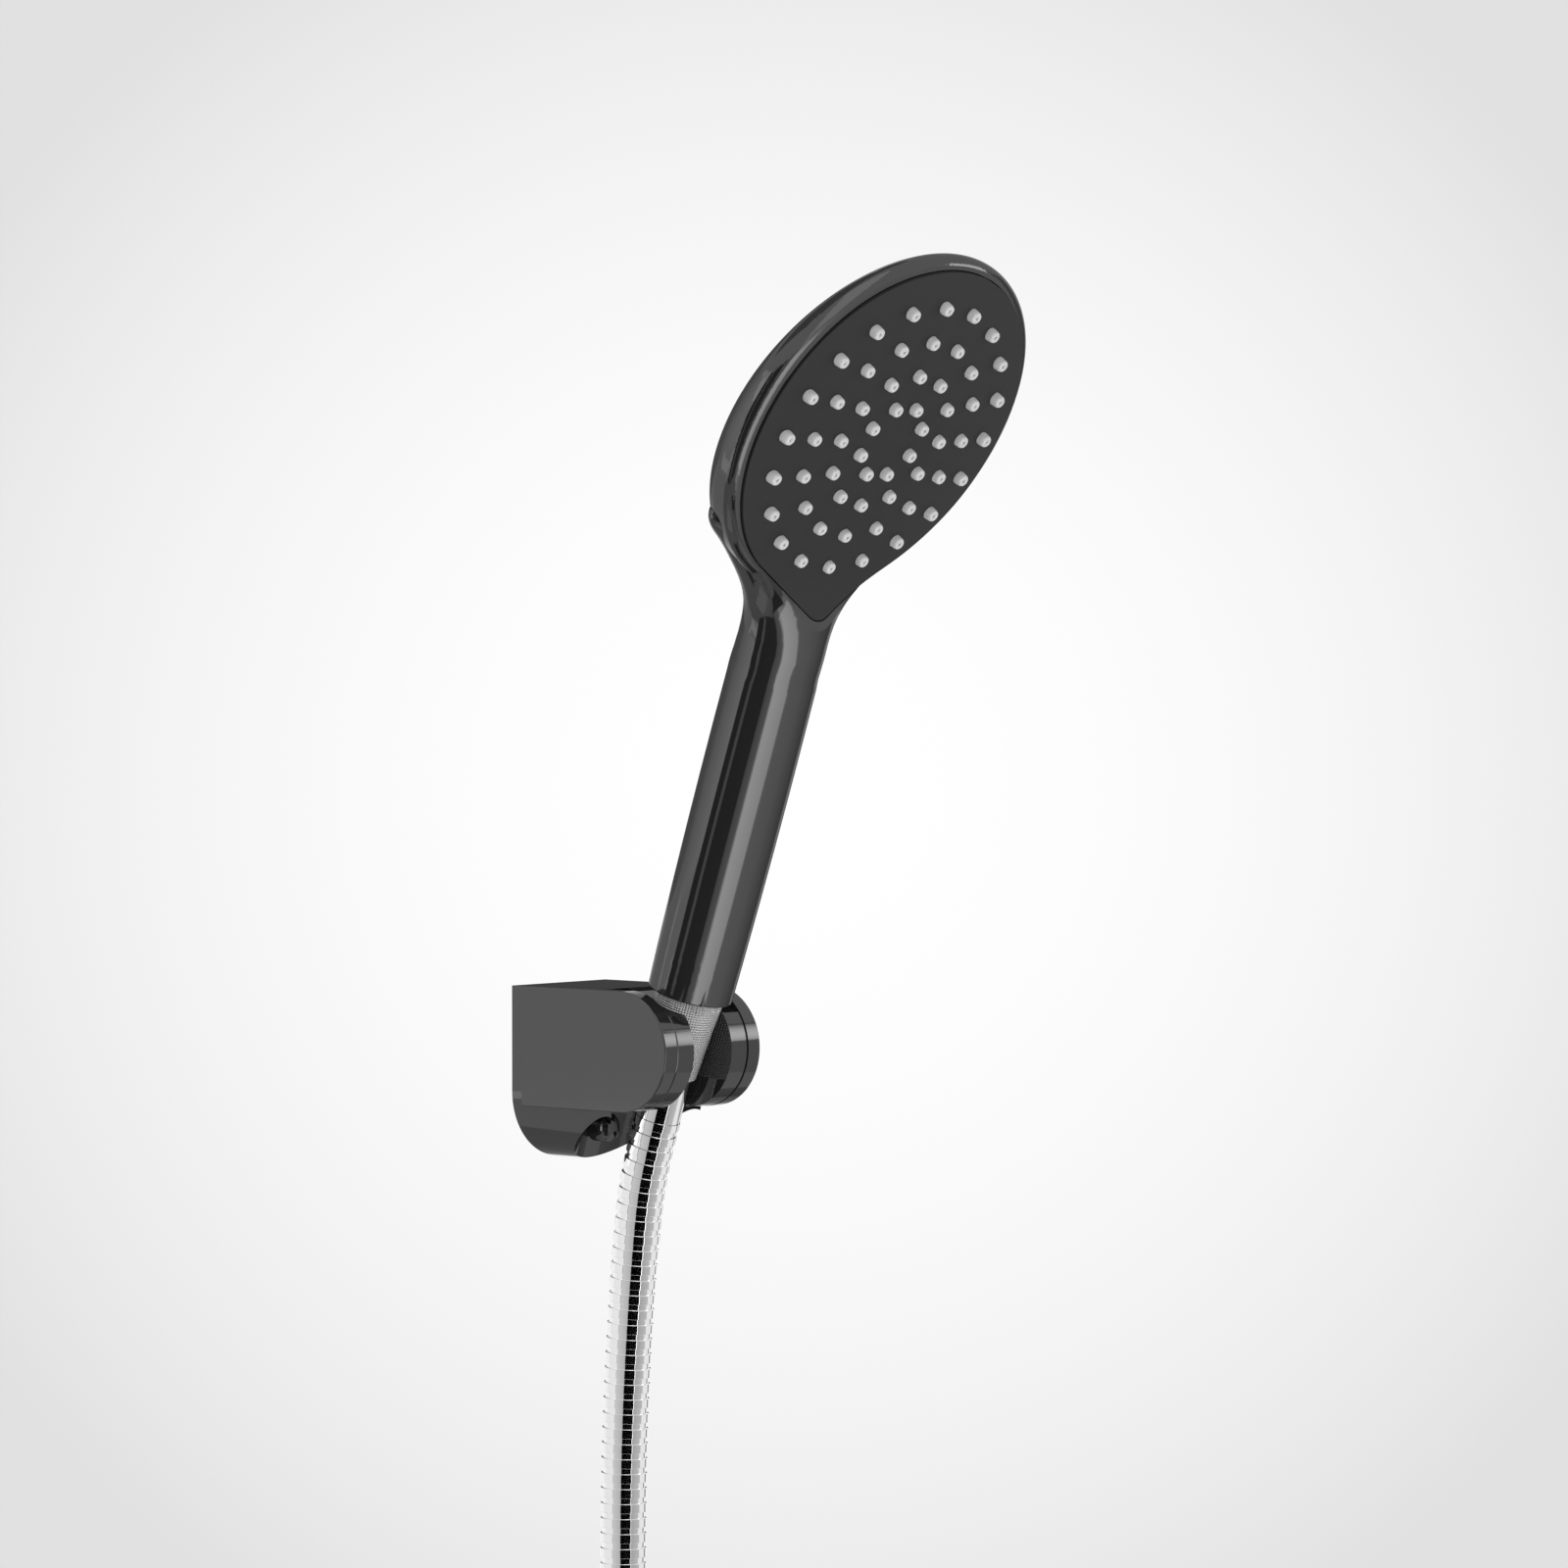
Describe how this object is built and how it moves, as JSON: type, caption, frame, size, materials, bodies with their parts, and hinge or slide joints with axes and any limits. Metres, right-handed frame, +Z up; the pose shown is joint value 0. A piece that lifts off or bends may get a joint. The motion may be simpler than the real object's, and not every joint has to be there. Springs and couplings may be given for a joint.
{
  "type": "handheld shower head",
  "caption": "Handheld shower head with a round egg-tipped spray face, standing in a tilting wall holder, with its flexible hose.",
  "frame": {"origin": "on the wall, behind the holder, midway between its two screw holes", "axes": "+Y into the wall, +Z up, the shower hangs in front on -Y"},
  "size_m": [0.1821, 0.1586, 0.6471],
  "materials": {
    "handset_shell": "gloss",
    "face_matt": "matt",
    "nozzle_silicone": "satin",
    "inner_plastic": "matt",
    "seal_rubber": "matt",
    "screw_steel": "satin",
    "holder_grey": "gloss",
    "cradle_grey": "gloss",
    "bush_black": "matt",
    "fitting_chrome": "polished",
    "hose_metal": "gloss",
    "tie_black": "matt"
  },
  "bodies": {
    "holder": {"wall_plate": "holder_grey", "holder_body": "holder_grey", "locking_screw": "screw_steel", "pivot_bush_left": "bush_black", "pivot_bush_right": "bush_black"},
    "cradle": {"swivel_cradle": "cradle_grey"},
    "handset": {"handle_sleeve": "handset_shell", "head_shell": "handset_shell", "face_plate": "face_matt", "nozzle_mat": "nozzle_silicone", "waterway_tube": "inner_plastic", "neck_seal_lower": "seal_rubber", "neck_seal_upper": "seal_rubber", "flow_restrictor": "inner_plastic", "inlet_washer": "seal_rubber", "distributor": "inner_plastic", "centre_screw": "screw_steel", "chamber_seal": "seal_rubber", "hose_ferrule": "fitting_chrome", "hose_top": "hose_metal"},
    "nut": {"conical_nut": "fitting_chrome"},
    "hose": {"hose_drop": "hose_metal", "hose_coil": "hose_metal", "hose_end": "hose_metal", "coil_ties": "tie_black", "end_ferrule": "fitting_chrome", "end_washer": "seal_rubber"},
    "hex_nut": {"hex_nut": "fitting_chrome"}
  },
  "joints": [
    {"name": "swivel_tilt", "type": "hinge", "parent": "holder", "child": "cradle", "pos_m": [0, -0.045, 0.0065], "axis": [1, 0, 0], "range_deg": [-17, 15]},
    {"name": "handset_lift", "type": "slide", "parent": "cradle", "child": "handset", "axis": [0, -0.3272, 0.9449], "range_m": [0, 0.03]},
    {"name": "nut_spin", "type": "hinge", "parent": "handset", "child": "nut", "pos_m": [0, -0.04755, 0.00562], "axis": [0, -0.3272, 0.9449], "continuous": true},
    {"name": "hose_hang", "type": "hinge", "parent": "handset", "child": "hose", "pos_m": [0, -0.03773, -0.02273], "axis": [1, 0, 0], "range_deg": [-18, 18]},
    {"name": "hex_nut_spin", "type": "hinge", "parent": "hose", "child": "hex_nut", "pos_m": [-0.00162, -0.07879, -0.3906], "axis": [0.9641, -0.054, -0.2601], "continuous": true}
  ],
  "couplings": [
    {"joint": "hose_hang", "follows": "swivel_tilt", "ratio": -1}
  ]
}
